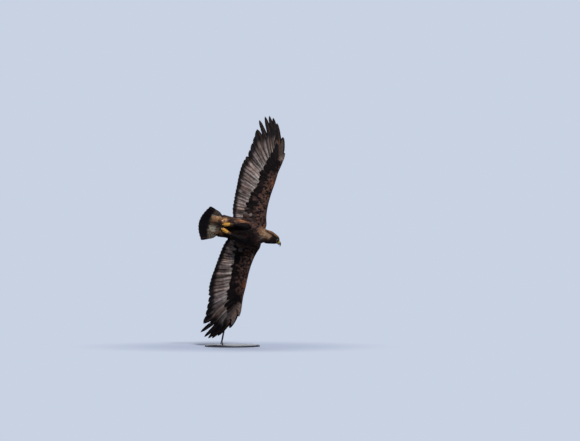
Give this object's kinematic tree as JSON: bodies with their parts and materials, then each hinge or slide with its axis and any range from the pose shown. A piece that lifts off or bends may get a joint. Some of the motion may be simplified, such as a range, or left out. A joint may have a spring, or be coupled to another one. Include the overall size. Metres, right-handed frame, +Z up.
{
  "type": "golden eagle",
  "caption": "Life-size golden eagle banking in flight with spread wings, fanned tail and tucked feet, on a round plate stand with one bent rod.",
  "frame": {"origin": "middle of the underside of the stand's round base, where it rests on the floor", "axes": "+Z up, +X the way the bird flies, +Y behind its back; it banks steeply, with its left wing down, right wing up and belly towards -Y"},
  "size_m": [0.7908, 0.5727, 2.0982],
  "materials": {
    "body_plumage": "soft dark brown body feathers, matte",
    "golden_plumage": "golden-buff hackles of the head and nape, matte",
    "flight_feathers": "dark brown flight feathers with paler bases and fine bars, satin",
    "bill": "horn, black at the hook and paler towards the yellow cere",
    "eye": "glossy amber-brown eye",
    "foot_scales": "yellow scaled skin",
    "claw": "black polished horn",
    "stand_metal": "dark grey powder coat"
  },
  "bodies": {
    "root": {"torso": "body_plumage", "neck": "golden_plumage", "head": "golden_plumage", "bill_upper": "bill", "bill_lower": "bill", "wing_right": "flight_feathers", "wing_left": "flight_feathers", "tail": "flight_feathers", "stand_base": "stand_metal", "stand_rod": "stand_metal", "eye_right": "eye", "leg_right": "body_plumage", "foot_right": "foot_scales", "claw_right_inner": "claw", "claw_right_middle": "claw", "claw_right_outer": "claw", "claw_right_hind": "claw", "eye_left": "eye", "leg_left": "body_plumage", "foot_left": "foot_scales", "claw_left_inner": "claw", "claw_left_middle": "claw", "claw_left_outer": "claw", "claw_left_hind": "claw"}
  },
  "joints": []
}
